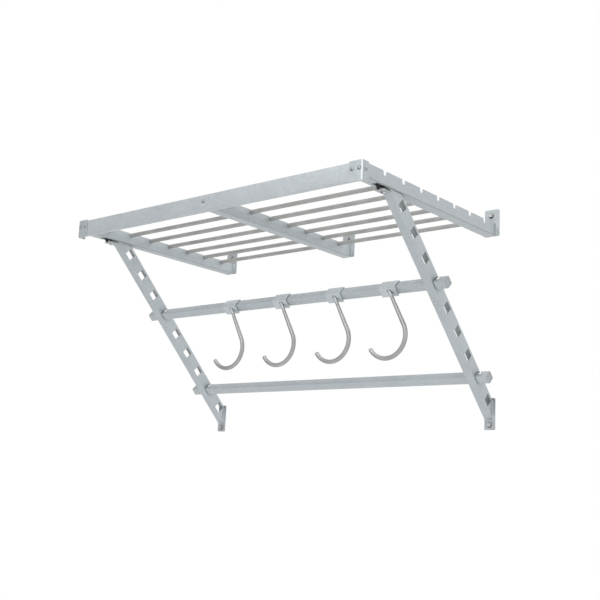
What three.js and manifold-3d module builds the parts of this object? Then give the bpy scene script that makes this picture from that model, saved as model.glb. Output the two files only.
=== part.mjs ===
// Wall rack in folded sheet steel: three notched arms carry a shelf of round rods and a front rail,
// two slanting struts carry two square bars set edge up, and four hooks slide on the upper bar.
// Millimetres, +X to the right along the wall, +Y into the wall, +Z up.
// The origin is on the back of the middle arm, in the plane of the wall, at mid height of the arm.

import * as THREE from 'three';
import { mergeVertices } from 'three/addons/utils/BufferGeometryUtils.js';
import Module from 'manifold-3d';

const wasm = await Module();
wasm.setup();

// ---------------------------------------------------------------- driving dimensions

const GAP = 0.3;                    // clearance between touching pieces
const SHEET = 2;                    // sheet of arms and struts
const THIN_SHEET = 1.5;             // sheet of the rail and its corner caps

const ARM_SPACING = 412.5;          // centre of an end arm from the centre of the middle one
const ARM_WIDTH = 28.5;
const ARM_HEIGHT = 28.5;
const ARM_X = { left: -ARM_SPACING, middle: 0, right: ARM_SPACING };
const PLATE_TOP = 49;               // top of the plate that closes the arm at the wall
const PLATE_EAR = 8.75;             // how far that plate reaches past the right side of the arm
const PLATE_HOLE = { x: 2.5, z: 35, radius: 3.4 };

const RAIL_FRONT = -518.5;          // front face of the rail
const RAIL_TOP = 14.8;
const RAIL_BOTTOM = -24.3;
const RAIL_TOP_LIP = 9;
const RAIL_BOTTOM_LIP = 6.5;
const RAIL_HALF = ARM_SPACING + ARM_WIDTH / 2;

const CAP_TOP = 16.3;
const CAP_BOTTOM = -25.2;
const CAP_FRONT_LEG = 32;
const CAP_SIDE_LEG = 21;
const CAP_BEND = 3;                 // outer radius of the cap's upright bend

const ROD_RADIUS = 5;
const ROD_COUNT = 7;
const ROD_FIRST_Y = -442.6;
const ROD_PITCH = 65;
const ROD_Z = 9.6;
const ROD_HALF = 411;
const NOTCH_RADIUS = 5.4;

const STRUT_WIDTH = 20;
const STRUT_DEPTH = 32;
const STRUT_LINE = -433.6;          // y + z on the front face, which slopes at 45 degrees
const STRUT_REAR_LIP = 17;
const STRUT_TOP = -ARM_HEIGHT / 2 - GAP;
const STRUT_FOOT = -454.8;          // bottom of the screwed tab
const STRUT_EAR = 6.3;              // how far the wall plate reaches past the right side
const FOOT_HOLE = { x: 3, z: -443.3, radius: 3.4 };
const TONGUE = { front: -442, top: -20 };     // flat tongue under the arm
const TONGUE_BOLT_Y = -427;
const WEB_SLOT = { left: -4.5, right: 9.5, front: -463, rear: -436 };
const SLOT_PLUG = { front: -446, bottom: -15.5, top: -4 };     // black plug in the rear of that slot
const PLUG_FLANGE = { left: -8.5, right: 11.5, rear: -434, thick: 2.3 };
const PLUG_LEG = { right: 0.8, rear: -440 };                   // reaches down to the strut's tongue

const HOLE_COUNT = 9;
const HOLE_FIRST = { y: -374, z: -39.4 };
const HOLE_STEP = 43.9;             // from one hole to the next, back and down
const HOLE_SIDE = 20.8;

const BAR_SIDE = 20;
const BAR_WALL = 1.5;
const BAR_HALF = 451.3;
const PLUG_FACE = 1.3;
const PLUG_DEPTH = 12;
const UPPER_BAR_HOLE = 3;           // counted from 0 at the top
const LOWER_BAR_HOLE = 7;
const LOCK_OFFSET = 8;              // locking screw from the strut's right face

const HOOK_X = [-157.5, 3, 160.5, 308.5];
const CLAMP_WIDTH = 42;
const CLAMP_SHEET = 2.5;
const CLAMP_REAR_LEG = 15;
const HOOK_RADIUS = 5;              // of the round wire
const HOOK_BEND = 48.3;             // radius of the bend in the wire's centre line
const HOOK_CENTRE = { x: -2, z: -95 };        // of the bend, from the middle of the saddle's lower front face
const HOOK_LEAN = 27.5;             // degrees between the shank and the upright
const HOOK_TIP = 149;               // degrees from the right side of the bend, under it, to the tip
const HOOK_SHANK = 75;

const WIRE_SIDES = 12;
const ROUND_SIDES = 24;

// ---------------------------------------------------------------- materials

function steel(color, roughness, metalness = 0.85) {
  return new THREE.MeshStandardMaterial({ color, roughness, metalness });
}

const galvanised = steel(0xb9bec0, 0.45);
const wire = steel(0xacada9, 0.4);
const zincScrew = steel(0xc6cacc, 0.3);
const plastic = steel(0x9b9fa1, 0.6, 0);
const blackPlastic = steel(0x1c1d1f, 0.6, 0);

// ---------------------------------------------------------------- solids

function toSolid(geometry) {
  const bare = geometry.clone();
  bare.deleteAttribute('normal');
  bare.deleteAttribute('uv');
  const merged = mergeVertices(bare, 1e-4);
  return new wasm.Manifold(new wasm.Mesh({
    numProp: 3,
    vertProperties: new Float32Array(merged.attributes.position.array),
    triVerts: new Uint32Array(merged.index.array),
  }));
}

function toGeometry(solid) {
  const mesh = solid.getMesh();
  const geometry = new THREE.BufferGeometry();
  geometry.setAttribute('position', new THREE.BufferAttribute(mesh.vertProperties, 3));
  geometry.setIndex(new THREE.BufferAttribute(mesh.triVerts, 1));
  geometry.computeVertexNormals();
  return geometry;
}

// Joins the first list of geometries and cuts the second list away.
function shaped(joined, cut = []) {
  let solid = toSolid(joined[0]);
  for (const geometry of joined.slice(1)) {
    solid = solid.add(toSolid(geometry));
  }
  for (const geometry of cut) {
    solid = solid.subtract(toSolid(geometry));
  }
  return toGeometry(solid);
}

function block([x0, x1], [y0, y1], [z0, z1]) {
  const geometry = new THREE.BoxGeometry(x1 - x0, y1 - y0, z1 - z0);
  return geometry.translate((x0 + x1) / 2, (y0 + y1) / 2, (z0 + z1) / 2);
}

// A round bar along one axis, from its start to its end on that axis.
function round(axis, radius, [start, end], [x, y, z], sides = ROUND_SIDES) {
  const geometry = new THREE.CylinderGeometry(radius, radius, end - start, sides);
  geometry.translate(0, (start + end) / 2, 0);
  if (axis === 'x') {
    geometry.rotateZ(-Math.PI / 2);
  }
  if (axis === 'z') {
    geometry.rotateX(Math.PI / 2);
  }
  return geometry.translate(x, y, z);
}

// An outline drawn in (y, z), with holes, pushed out along X.
function sidePlate(outline, [x0, x1], holes = []) {
  const shape = new THREE.Shape(outline.map(([y, z]) => new THREE.Vector2(y, z)));
  for (const hole of holes) {
    shape.holes.push(new THREE.Path(hole.map(([y, z]) => new THREE.Vector2(y, z))));
  }
  const geometry = new THREE.ExtrudeGeometry(shape, { depth: x1 - x0, bevelEnabled: false });
  const basis = new THREE.Matrix4().makeBasis(
    new THREE.Vector3(0, 1, 0), new THREE.Vector3(0, 0, 1), new THREE.Vector3(1, 0, 0));
  return geometry.applyMatrix4(basis).translate(x0, 0, 0);
}

// A plate against the wall with rounded top corners.
function wallPlate([x0, x1], [z0, z1], corner) {
  const shape = new THREE.Shape();
  shape.moveTo(x0, z0);
  shape.lineTo(x1, z0);
  shape.lineTo(x1, z1 - corner);
  shape.absarc(x1 - corner, z1 - corner, corner, 0, Math.PI / 2);
  shape.lineTo(x0 + corner, z1);
  shape.absarc(x0 + corner, z1 - corner, corner, Math.PI / 2, Math.PI);
  const geometry = new THREE.ExtrudeGeometry(shape, { depth: SHEET, bevelEnabled: false, curveSegments: 4 });
  return geometry.rotateX(Math.PI / 2);
}

// A turned piece on the Y axis, from a profile of [radius, height] points that runs upwards.
function turned(profile, sides = ROUND_SIDES) {
  return new THREE.LatheGeometry(profile.map(([r, h]) => new THREE.Vector2(r, h)), sides);
}

const rack = new THREE.Group();

function place(parent, name, geometry, material, [x, y, z] = [0, 0, 0]) {
  const mesh = new THREE.Mesh(geometry, material);
  mesh.name = name;
  mesh.position.set(x, y, z);
  parent.add(mesh);
  return mesh;
}

// ---------------------------------------------------------------- arms

const HALF_ARM = ARM_WIDTH / 2;
const ARM_FRONT = RAIL_FRONT + THIN_SHEET + GAP;
const RIVET_HOLE = 2.3;
const CAP_RIVETS = [RAIL_HALF - 5.5, RAIL_HALF - 22.8];
const CAP_SIDE_RIVET_Y = -508.4;

function notchCutter(y) {
  const slot = block([-HALF_ARM - 1, HALF_ARM + 1], [y - NOTCH_RADIUS, y + NOTCH_RADIUS], [ROD_Z, HALF_ARM + 1]);
  const seat = round('x', NOTCH_RADIUS, [-HALF_ARM - 1, HALF_ARM + 1], [0, y, ROD_Z]);
  return [slot, seat];
}

function armGeometry(side) {
  const centre = ARM_X[side];
  const bottom = -ARM_HEIGHT / 2;
  const top = ARM_HEIGHT / 2;
  const inner = HALF_ARM - SHEET;
  const reliefTop = RAIL_TOP - THIN_SHEET - 2 * GAP;
  const joined = [
    block([-HALF_ARM, HALF_ARM], [ARM_FRONT, -SHEET / 2], [bottom, bottom + SHEET]),
    block([-HALF_ARM, -inner], [ARM_FRONT, -SHEET / 2], [bottom, top]),
    block([inner, HALF_ARM], [ARM_FRONT, -SHEET / 2], [bottom, top]),
    block([-HALF_ARM, HALF_ARM], [ARM_FRONT, ARM_FRONT + SHEET], [bottom, top]),
    wallPlate([-HALF_ARM, HALF_ARM + PLATE_EAR], [bottom, PLATE_TOP], 3),
  ];
  const cut = [
    block([-HALF_ARM - 1, HALF_ARM + 1], [ARM_FRONT - 1, RAIL_FRONT + RAIL_TOP_LIP + GAP], [reliefTop, top + 1]),
    round('y', PLATE_HOLE.radius, [-SHEET - 1, 1], [PLATE_HOLE.x, 0, PLATE_HOLE.z]),
  ];
  for (let i = 0; i < ROD_COUNT; i += 1) {
    cut.push(...notchCutter(ROD_FIRST_Y + i * ROD_PITCH));
  }
  if (side === 'middle') {
    cut.push(round('y', RIVET_HOLE, [ARM_FRONT - 1, ARM_FRONT + SHEET + 1], [0, 0, 0]));
    return shaped(joined, cut);
  }
  const outward = Math.sign(centre);
  for (const x of CAP_RIVETS) {
    cut.push(round('y', RIVET_HOLE, [ARM_FRONT - 1, ARM_FRONT + SHEET + 1], [outward * x - centre, 0, 0]));
  }
  const wall = outward * (HALF_ARM - SHEET / 2);
  cut.push(round('x', RIVET_HOLE, [wall - SHEET, wall + SHEET], [0, CAP_SIDE_RIVET_Y, 0]));
  cut.push(round('z', 3.4, [bottom - 1, bottom + SHEET + 1], [0, TONGUE_BOLT_Y, 0]));
  const { left, right, front, rear } = WEB_SLOT;
  cut.push(block([left, right], [front, rear], [bottom - 1, bottom + SHEET + 1]));
  return shaped(joined, cut);
}

for (const side of ['left', 'middle', 'right']) {
  place(rack, `arm_${side}`, armGeometry(side), galvanised, [ARM_X[side], 0, 0]);
}

// A plug pushed down through the slot: a flange rests on the web, and a leg stands on the strut's tongue.
function slotPlugGeometry() {
  const left = WEB_SLOT.left + GAP;
  const right = WEB_SLOT.right - GAP;
  const seat = -ARM_HEIGHT / 2 + SHEET + GAP;
  const { front, bottom, top } = SLOT_PLUG;
  return shaped([
    block([left, right], [front, WEB_SLOT.rear - GAP], [bottom, top]),
    block([PLUG_FLANGE.left, PLUG_FLANGE.right], [front, PLUG_FLANGE.rear], [seat, seat + PLUG_FLANGE.thick]),
    block([left, PLUG_LEG.right], [front, PLUG_LEG.rear], [TONGUE.top + GAP, bottom + 1]),
  ]);
}

for (const side of ['left', 'right']) {
  place(rack, `slot_plug_${side}`, slotPlugGeometry(), blackPlastic, [ARM_X[side], 0, 0]);
}

// ---------------------------------------------------------------- front rail and its corner caps

function railGeometry() {
  const across = [-RAIL_HALF, RAIL_HALF];
  const joined = [
    block(across, [RAIL_FRONT, RAIL_FRONT + THIN_SHEET], [RAIL_BOTTOM, RAIL_TOP]),
    block(across, [RAIL_FRONT, RAIL_FRONT + RAIL_TOP_LIP], [RAIL_TOP - THIN_SHEET, RAIL_TOP]),
    block(across, [RAIL_FRONT, RAIL_FRONT + RAIL_BOTTOM_LIP], [RAIL_BOTTOM, RAIL_BOTTOM + THIN_SHEET]),
  ];
  const rivetX = [0];
  for (const x of CAP_RIVETS) {
    rivetX.push(-x, x);
  }
  const cut = rivetX.map((x) =>
    round('y', RIVET_HOLE, [RAIL_FRONT - 1, RAIL_FRONT + THIN_SHEET + 1], [x, 0, 0]));
  return shaped(joined, cut);
}

place(rack, 'front_rail', railGeometry(), galvanised);

const CAP_FACE = RAIL_FRONT - GAP - THIN_SHEET;       // outer face of the cap's front leg
const CAP_SIDE = RAIL_HALF + GAP + THIN_SHEET;        // outer face of its side leg

// The right cap's section, seen from above, with a round outer bend.
function capGeometry() {
  const shape = new THREE.Shape();
  const frontEnd = CAP_SIDE - CAP_FRONT_LEG;
  const sideEnd = CAP_FACE + CAP_SIDE_LEG;
  shape.moveTo(frontEnd, CAP_FACE);
  shape.lineTo(CAP_SIDE - CAP_BEND, CAP_FACE);
  shape.absarc(CAP_SIDE - CAP_BEND, CAP_FACE + CAP_BEND, CAP_BEND, -Math.PI / 2, 0);
  shape.lineTo(CAP_SIDE, sideEnd);
  shape.lineTo(CAP_SIDE - THIN_SHEET, sideEnd);
  shape.lineTo(CAP_SIDE - THIN_SHEET, CAP_FACE + THIN_SHEET);
  shape.lineTo(frontEnd, CAP_FACE + THIN_SHEET);
  const settings = { depth: CAP_TOP - CAP_BOTTOM, bevelEnabled: false, curveSegments: 5 };
  const body = new THREE.ExtrudeGeometry(shape, settings).translate(0, 0, CAP_BOTTOM);
  const cut = CAP_RIVETS.map((x) =>
    round('y', RIVET_HOLE, [CAP_FACE - 1, CAP_FACE + THIN_SHEET + 1], [x, 0, 0]));
  cut.push(round('x', RIVET_HOLE, [CAP_SIDE - 3, CAP_SIDE + 1], [0, CAP_SIDE_RIVET_Y, 0]));
  return shaped([body], cut);
}

function mirrored(geometry) {
  const copy = geometry.clone().scale(-1, 1, 1);
  const index = copy.index.array;
  for (let i = 0; i < index.length; i += 3) {
    [index[i], index[i + 1]] = [index[i + 1], index[i]];
  }
  copy.computeVertexNormals();
  return copy;
}

place(rack, 'corner_cap_right', capGeometry(), galvanised);
place(rack, 'corner_cap_left', mirrored(capGeometry()), galvanised);

// A blind rivet: low domed head, shank through the sheets, flared tail behind them.
// Its axis is Y, its head faces +Y and its shank passes through the sheets at y below 0.
function rivetGeometry(grip) {
  const shank = 2;
  return turned([
    [0, -grip - 2], [2.6, -grip - 1.6], [3, -grip - 0.3], [shank, -grip],
    [shank, 0], [4.1, 0], [3.6, 0.6], [2.2, 1.4], [0, 1.7],
  ], 16);
}

function placeRivet(name, grip, position, turn) {
  const mesh = place(rack, name, rivetGeometry(grip), zincScrew, position);
  mesh.rotation.z = turn;
}

const RAIL_GRIP = THIN_SHEET + GAP + SHEET + 2 * GAP;
const CAP_GRIP = RAIL_GRIP + THIN_SHEET + GAP;
const SIDE_GRIP = THIN_SHEET + SHEET + 3 * GAP;

placeRivet('rail_rivet_middle', RAIL_GRIP, [0, RAIL_FRONT - GAP, 0], Math.PI);
for (const [side, sign] of [['left', -1], ['right', 1]]) {
  const [outer, inner] = CAP_RIVETS;
  const sideTurn = -sign * Math.PI / 2;
  placeRivet(`cap_rivet_outer_${side}`, CAP_GRIP, [sign * outer, CAP_FACE - GAP, 0], Math.PI);
  placeRivet(`cap_rivet_inner_${side}`, CAP_GRIP, [sign * inner, CAP_FACE - GAP, 0], Math.PI);
  placeRivet(`cap_rivet_side_${side}`, SIDE_GRIP, [sign * (CAP_SIDE + GAP), CAP_SIDE_RIVET_Y, 0], sideTurn);
}

// ---------------------------------------------------------------- shelf rods

for (let i = 0; i < ROD_COUNT; i += 1) {
  const y = ROD_FIRST_Y + i * ROD_PITCH;
  const rod = round('x', ROD_RADIUS, [-ROD_HALF, ROD_HALF], [0, 0, 0]);
  place(rack, `shelf_rod_${i + 1}`, rod, wire, [0, y, ROD_Z]);
}

// ---------------------------------------------------------------- struts

const DIAGONAL = Math.SQRT2;
const HALF_STRUT = STRUT_WIDTH / 2;

function holeCentre(i) {
  return { y: HOLE_FIRST.y + i * HOLE_STEP, z: HOLE_FIRST.z - i * HOLE_STEP };
}

function diamond({ y, z }, side) {
  const reach = side / DIAGONAL;
  return [[y - reach, z], [y, z - reach], [y + reach, z], [y, z + reach]];
}

// The part of the strut between two slanting planes, from the arm down to the wall plate.
function slantedOutline(near, far) {
  const foot = -SHEET / 2;
  return [
    [near - STRUT_TOP, STRUT_TOP], [foot, near - foot],
    [foot, far - foot], [far - STRUT_TOP, STRUT_TOP],
  ];
}

function strutGeometry() {
  const front = STRUT_LINE;
  const frontInside = STRUT_LINE + SHEET * DIAGONAL;
  const rear = STRUT_LINE + STRUT_DEPTH * DIAGONAL;
  const rearInside = rear - SHEET * DIAGONAL;
  const foot = -SHEET / 2;
  const underside = TONGUE.top - SHEET;
  const holes = [];
  for (let i = 0; i < HOLE_COUNT; i += 1) {
    holes.push(diamond(holeCentre(i), HOLE_SIDE));
  }
  const frontSheet = [
    [TONGUE.front, underside], [front - underside, underside], [foot, front - foot],
    [foot, frontInside - foot], [frontInside - TONGUE.top, TONGUE.top], [TONGUE.front, TONGUE.top],
  ];
  const joined = [
    sidePlate(slantedOutline(front, rear), [HALF_STRUT - SHEET, HALF_STRUT], holes),
    sidePlate(frontSheet, [-HALF_STRUT, HALF_STRUT]),
    sidePlate(slantedOutline(rearInside, rear), [HALF_STRUT - STRUT_REAR_LIP, HALF_STRUT]),
    block([-HALF_STRUT, HALF_STRUT + STRUT_EAR], [-SHEET, 0], [STRUT_FOOT, rear + 4]),
  ];
  const cut = [
    round('y', FOOT_HOLE.radius, [-SHEET - 1, 1], [FOOT_HOLE.x, 0, FOOT_HOLE.z]),
    round('z', 3.4, [underside - 1, TONGUE.top + 1], [0, TONGUE_BOLT_Y, 0]),
  ];
  return shaped(joined, cut);
}

const strut = strutGeometry();
for (const side of ['left', 'right']) {
  place(rack, `strut_${side}`, strut, galvanised, [ARM_X[side], 0, 0]);
}

// ---------------------------------------------------------------- bolts between strut and arm

const BOLT_RADIUS = 3;
const NUT_ACROSS_CORNERS = 11.5;

function nutGeometry(height) {
  const body = round('z', NUT_ACROSS_CORNERS / 2, [0, height], [0, 0, 0], 6);
  return shaped([body], [round('z', BOLT_RADIUS + GAP, [-1, height + 1], [0, 0, 0])]);
}

function strutBoltGeometry() {
  const head = TONGUE.top - SHEET - GAP;
  const end = -ARM_HEIGHT / 2 + 9.5;
  return turned([
    [0, head - 3], [4, head - 2.6], [6, head - 1], [6, head],
    [BOLT_RADIUS, head], [BOLT_RADIUS, end - 0.6], [BOLT_RADIUS - 0.6, end], [0, end],
  ]).rotateX(Math.PI / 2);
}

for (const side of ['left', 'right']) {
  const x = ARM_X[side];
  const spacer = STRUT_TOP - TONGUE.top - GAP;
  const inside = -ARM_HEIGHT / 2 + SHEET + GAP;
  place(rack, `strut_bolt_${side}`, strutBoltGeometry(), zincScrew, [x, TONGUE_BOLT_Y, 0]);
  place(rack, `strut_spacer_nut_${side}`, nutGeometry(spacer), zincScrew, [x, TONGUE_BOLT_Y, TONGUE.top + GAP]);
  place(rack, `strut_lock_nut_${side}`, nutGeometry(5), zincScrew, [x, TONGUE_BOLT_Y, inside]);
}

// ---------------------------------------------------------------- wall screws

// Hexagon head with its flange, on a shank that ends in the plane of the wall.
function wallScrewGeometry() {
  const seat = -SHEET - GAP;
  return shaped([
    round('y', 6.4, [seat - 1.6, seat], [0, 0, 0]),
    round('y', 5.6, [seat - 5.4, seat - 1.2], [0, 0, 0], 6),
    round('y', 3, [seat - 1, -GAP], [0, 0, 0]),
  ]);
}

for (const side of ['left', 'middle', 'right']) {
  const position = [ARM_X[side] + PLATE_HOLE.x, 0, PLATE_HOLE.z];
  place(rack, `arm_wall_screw_${side}`, wallScrewGeometry(), zincScrew, position);
}
for (const side of ['left', 'right']) {
  const position = [ARM_X[side] + FOOT_HOLE.x, 0, FOOT_HOLE.z];
  place(rack, `strut_wall_screw_${side}`, wallScrewGeometry(), zincScrew, position);
}

// ---------------------------------------------------------------- square bars, plugs and locking screws

function squareOutline(side) {
  const h = side / 2;
  return [[-h, -h], [h, -h], [h, h], [-h, h]];
}

const TUBE_HALF = BAR_HALF - PLUG_FACE - GAP;
const LOCK_X = [ARM_X.left, ARM_X.right].map((x) => x + HALF_STRUT + LOCK_OFFSET);
const LOCK_SHANK = 2;

// A bar is built square to the axes and turned edge up by the group that holds it.
function tubeGeometry() {
  const tube = sidePlate(squareOutline(BAR_SIDE), [-TUBE_HALF, TUBE_HALF], [squareOutline(BAR_SIDE - 2 * BAR_WALL)]);
  const cut = LOCK_X.map((x) =>
    round('z', LOCK_SHANK + GAP, [BAR_SIDE / 2 - BAR_WALL - 1, BAR_SIDE / 2 + 1], [x, 0, 0], 16));
  return shaped([tube], cut);
}

function plugGeometry() {
  const insert = BAR_SIDE - 2 * BAR_WALL - 2 * GAP;
  return shaped([
    sidePlate(squareOutline(BAR_SIDE), [0, PLUG_FACE]),
    sidePlate(squareOutline(insert), [-PLUG_DEPTH, PLUG_FACE / 2]),
  ]);
}

function lockScrewGeometry() {
  return turned([
    [0, -7], [LOCK_SHANK, -6], [LOCK_SHANK, 0], [4, 0], [4, 1.4], [2.6, 2.8], [0, 3.2],
  ], 16).rotateX(Math.PI / 2);
}

function addBar(name, { y, z }) {
  const group = new THREE.Group();
  group.position.set(0, y, z);
  group.rotation.x = Math.PI / 4;
  rack.add(group);
  place(group, name, tubeGeometry(), galvanised);
  place(group, `${name}_plug_right`, plugGeometry(), plastic, [TUBE_HALF + GAP, 0, 0]);
  const leftPlug = place(group, `${name}_plug_left`, plugGeometry(), plastic, [-TUBE_HALF - GAP, 0, 0]);
  leftPlug.rotation.z = Math.PI;
  for (const [i, side] of ['left', 'right'].entries()) {
    const seat = BAR_SIDE / 2 + GAP;
    place(group, `${name}_lock_screw_${side}`, lockScrewGeometry(), zincScrew, [LOCK_X[i], 0, seat]);
  }
  return group;
}

const upperBar = addBar('upper_bar', holeCentre(UPPER_BAR_HOLE));
addBar('lower_bar', holeCentre(LOWER_BAR_HOLE));

// ---------------------------------------------------------------- sliding hooks

// A saddle over three faces of the bar, drawn square to the bar and turned with it.
function clampGeometry() {
  const inside = BAR_SIDE / 2 + GAP;
  const outside = inside + CLAMP_SHEET;
  const outline = [
    [-outside, -outside], [-inside, -outside], [-inside, inside], [inside, inside],
    [inside, outside - CLAMP_REAR_LEG - CLAMP_SHEET], [outside, outside - CLAMP_REAR_LEG - CLAMP_SHEET],
    [outside, outside], [-outside, outside],
  ];
  return sidePlate(outline, [-CLAMP_WIDTH / 2, CLAMP_WIDTH / 2]);
}

// Centre line of the wire, in an upright plane along the bar: a straight shank that leans to the right,
// then one wide bend that comes up on the left to the tip.
class HookCurve extends THREE.Curve {
  constructor() {
    super();
    this.start = THREE.MathUtils.degToRad(-HOOK_LEAN);
    this.end = THREE.MathUtils.degToRad(HOOK_TIP);
    this.total = HOOK_SHANK + HOOK_BEND * (this.end - this.start);
  }

  onBend(angle) {
    const { x, z } = HOOK_CENTRE;
    return new THREE.Vector3(x + HOOK_BEND * Math.cos(angle), 0, z - HOOK_BEND * Math.sin(angle));
  }

  getPoint(t) {
    const along = t * this.total;
    if (along > HOOK_SHANK) {
      return this.onBend(this.start + (along - HOOK_SHANK) / HOOK_BEND);
    }
    const back = new THREE.Vector3(Math.sin(this.start), 0, Math.cos(this.start));
    return this.onBend(this.start).addScaledVector(back, HOOK_SHANK - along);
  }
}

function wireSection() {
  const shape = new THREE.Shape();
  shape.absarc(0, 0, HOOK_RADIUS, 0, 2 * Math.PI);
  return new THREE.Shape(shape.getSpacedPoints(WIRE_SIDES).slice(0, WIRE_SIDES));
}

function hookGeometry() {
  return new THREE.ExtrudeGeometry(wireSection(), {
    steps: 36,
    extrudePath: new HookCurve(),
    bevelEnabled: false,
  });
}

const CLAMP_FACE = (BAR_SIDE / 2 + GAP + CLAMP_SHEET) / DIAGONAL;   // the face's middle, forward and down
for (const [i, x] of HOOK_X.entries()) {
  const { y, z } = holeCentre(UPPER_BAR_HOLE);
  place(upperBar, `hook_clamp_${i + 1}`, clampGeometry(), galvanised, [x, 0, 0]);
  place(rack, `hook_wire_${i + 1}`, hookGeometry(), wire, [x, y - CLAMP_FACE, z - CLAMP_FACE]);
}

export default rack;
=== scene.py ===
# %% [markdown]
# # A wall rack in folded steel
# The rack is a set of folded sheet parts, round rods and square bars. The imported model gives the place
# and size of every part. Here each part is made again with its bends, sheared edges and fasteners, and
# gets a finish of its own. Lengths are in metres, +X runs right along the wall, +Y into it and +Z up.

# %% Load the frame
import math

import bmesh
import bpy
from mathutils import Matrix, Vector


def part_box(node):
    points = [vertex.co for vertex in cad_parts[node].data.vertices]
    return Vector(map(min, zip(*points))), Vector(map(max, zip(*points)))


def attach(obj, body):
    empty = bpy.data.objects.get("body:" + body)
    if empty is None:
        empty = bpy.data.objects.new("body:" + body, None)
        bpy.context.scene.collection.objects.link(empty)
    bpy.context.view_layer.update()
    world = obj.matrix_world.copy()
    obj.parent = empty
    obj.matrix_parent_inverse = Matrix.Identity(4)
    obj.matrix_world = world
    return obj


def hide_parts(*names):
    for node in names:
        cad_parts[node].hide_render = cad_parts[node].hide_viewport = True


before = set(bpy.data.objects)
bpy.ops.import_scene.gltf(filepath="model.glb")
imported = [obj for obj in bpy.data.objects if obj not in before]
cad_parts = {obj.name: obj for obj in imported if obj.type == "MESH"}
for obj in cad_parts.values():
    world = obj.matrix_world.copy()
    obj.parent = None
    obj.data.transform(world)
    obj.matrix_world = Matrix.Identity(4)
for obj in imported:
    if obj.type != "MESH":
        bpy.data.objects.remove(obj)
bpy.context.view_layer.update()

scene = bpy.context.scene

# %% [markdown]
# ## Camera
# A long lens stands low, to the right of the rack, and looks slightly up at it. The camera leans a few
# degrees, as a hand-held one does. Its matrix is built from the three angles.

# %% Camera
CAMERA_PLACE = Vector((1.50299, -1.95231, -0.61303))
TURN, TILT, LEAN = math.radians(40.27), math.radians(11.10), math.radians(2.73)
LENS = 59.34
SENSOR = 36


def camera_matrix(place, turn, tilt, lean):
    """The camera looks along +Y, turned towards -X, tilted up and leaning."""
    forward = Vector((-math.sin(turn) * math.cos(tilt), math.cos(turn) * math.cos(tilt), math.sin(tilt)))
    level = Vector((math.cos(turn), math.sin(turn), 0))
    upright = level.cross(forward)
    across = math.cos(lean) * level + math.sin(lean) * upright
    up = math.cos(lean) * upright - math.sin(lean) * level
    turned_axes = Matrix((across, up, -forward)).transposed()
    return Matrix.Translation(place) @ turned_axes.to_4x4()


camera = bpy.data.objects.new("camera", bpy.data.cameras.new("camera"))
scene.collection.objects.link(camera)
camera.data.lens = LENS
camera.data.sensor_width = SENSOR
camera.data.clip_end = 100
camera.matrix_world = camera_matrix(CAMERA_PLACE, TURN, TILT, LEAN)
scene.camera = camera
print("camera:", [round(v, 3) for v in camera.location], "lens", camera.data.lens)

# %% [markdown]
# ## Shader maths as plain expressions
# A finish is easier to read as sums than as node trees. `Signal` wraps one socket, and adding or
# multiplying signals adds the Math nodes. `Finish` holds a material and makes any other node.

# %% Signal and Finish


class Signal:
    """One output socket of a finish, which takes part in sums."""

    def __init__(self, finish, socket):
        self.finish = finish
        self.socket = socket

    def _math(self, operation, first, second):
        return self.finish.node("ShaderNodeMath", {"operation": operation}, {0: first, 1: second})

    def __add__(self, other):
        return self._math("ADD", self, other)

    def __radd__(self, other):
        return self._math("ADD", other, self)

    def __sub__(self, other):
        return self._math("SUBTRACT", self, other)

    def __rsub__(self, other):
        return self._math("SUBTRACT", other, self)

    def __mul__(self, other):
        return self._math("MULTIPLY", self, other)

    def __rmul__(self, other):
        return self._math("MULTIPLY", other, self)

    def between(self, low, high, start=0.0, end=1.0):
        """Start below low, end above high, and a smooth ramp from one to the other."""
        return self.finish.node(
            "ShaderNodeMapRange",
            {"interpolation_type": "SMOOTHSTEP"},
            {"Value": self, "From Min": low, "From Max": high, "To Min": start, "To Max": end},
        )


class Finish:
    """A material whose nodes are written as expressions."""

    def __init__(self, name):
        self.material = bpy.data.materials.new(name)
        self.material.use_nodes = True
        self.tree = self.material.node_tree
        self.shader = next(n for n in self.tree.nodes if n.type == "BSDF_PRINCIPLED")

    def fill(self, socket, value):
        if isinstance(value, Signal):
            self.tree.links.new(value.socket, socket)
        else:
            socket.default_value = value

    def node(self, kind, settings=None, sockets=None, output=0):
        made = self.tree.nodes.new(kind)
        for key, value in (settings or {}).items():
            setattr(made, key, value)
        for key, value in (sockets or {}).items():
            self.fill(made.inputs[key], value)
        return Signal(self, made.outputs[output])

    def set(self, **sockets):
        for key, value in sockets.items():
            self.fill(self.shader.inputs[key.replace("_", " ")], value)

    def place(self, scale=(1, 1, 1), turn=(0, 0, 0)):
        """The point on the piece, in metres, stretched for a pattern with a direction."""
        point = self.node("ShaderNodeTexCoord", output="Object")
        return self.node("ShaderNodeMapping", None, {"Vector": point, "Scale": scale, "Rotation": turn})

    def noise(self, size, detail=2.0, scale=(1, 1, 1), turn=(0, 0, 0)):
        """Cloudy values from 0 to 1 whose patches are about size metres across."""
        return self.node(
            "ShaderNodeTexNoise", None,
            {"Vector": self.place(scale, turn), "Scale": 1 / size, "Detail": detail},
        )

    def mix(self, factor, first, second):
        return self.node(
            "ShaderNodeMix", {"data_type": "RGBA"},
            {"Factor": factor, 6: first, 7: second}, output=2,
        )


print("ready:", Signal.__name__, "and", Finish.__name__)

# %% [markdown]
# ## Bare edges
# Sheared and bent edges rub bright before the faces do. A Bevel node looks at the normal of a slightly
# rounder piece; where it leans away from the true normal there is an edge.

# %% Edge mask


def edge_mask(finish, radius):
    rounded = finish.node("ShaderNodeBevel", {"samples": 4}, {"Radius": radius})
    true = finish.node("ShaderNodeNewGeometry", output="Normal")
    facing = finish.node("ShaderNodeVectorMath", {"operation": "DOT_PRODUCT"}, {0: rounded, 1: true}, "Value")
    return (1 - facing).between(0.01, 0.22)


print("ready:", edge_mask.__name__)

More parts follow.
